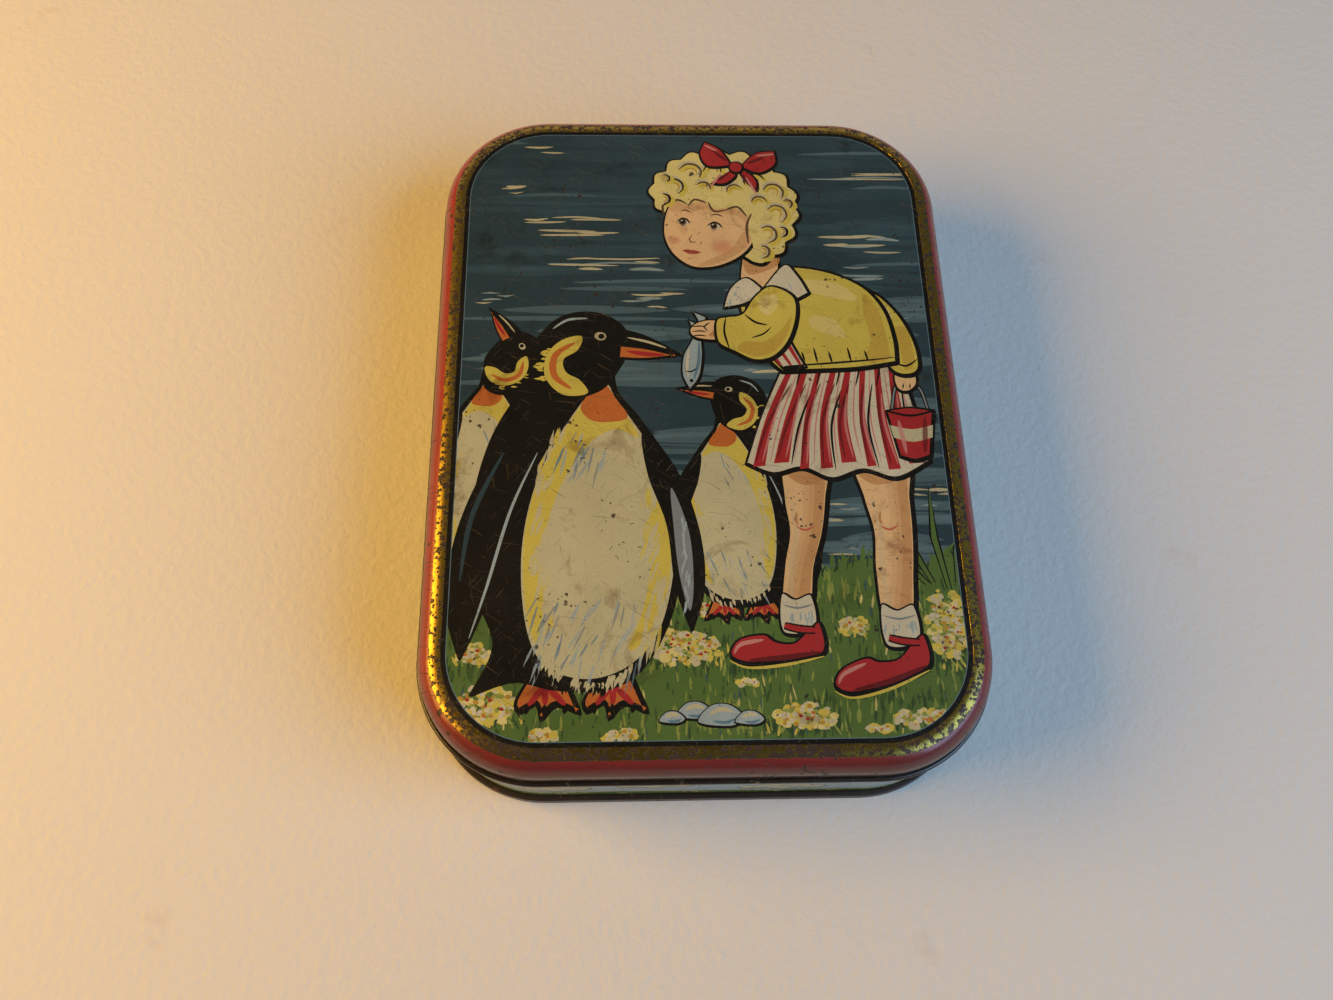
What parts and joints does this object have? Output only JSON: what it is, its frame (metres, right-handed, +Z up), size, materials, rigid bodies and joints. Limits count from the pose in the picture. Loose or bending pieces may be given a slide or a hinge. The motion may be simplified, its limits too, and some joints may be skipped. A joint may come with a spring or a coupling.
{
  "type": "slip-lid tin",
  "caption": "Flat rounded-corner confectionery tin of printed tinplate: lift-off lid with rounded shoulder and rolled hem, seamed body wall, and recessed double-seamed base.",
  "frame": {"origin": "centre of the footprint, on the surface that the tin stands on", "axes": "+Z up through the lid, +Y along the length towards the top of the lid's picture, +X across the width to the picture's right"},
  "size_m": [0.0938, 0.127, 0.025],
  "materials": {
    "lid_print": "glossy varnished lithograph over tinplate, gold shoulder, red skirt and black hem, worn and speckled",
    "wall_print": "glossy varnished lithograph over tinplate, pale sky over a green strip",
    "base_tinplate": "dark lacquered tinplate, worn at the seam"
  },
  "bodies": {
    "body": {"body_wall": "wall_print", "base": "base_tinplate"},
    "lid": {"lid": "lid_print"}
  },
  "joints": [
    {"name": "lid_lift", "type": "slide", "parent": "body", "child": "lid", "axis": [0, 0, 1], "range_m": [0, 0.06]}
  ]
}
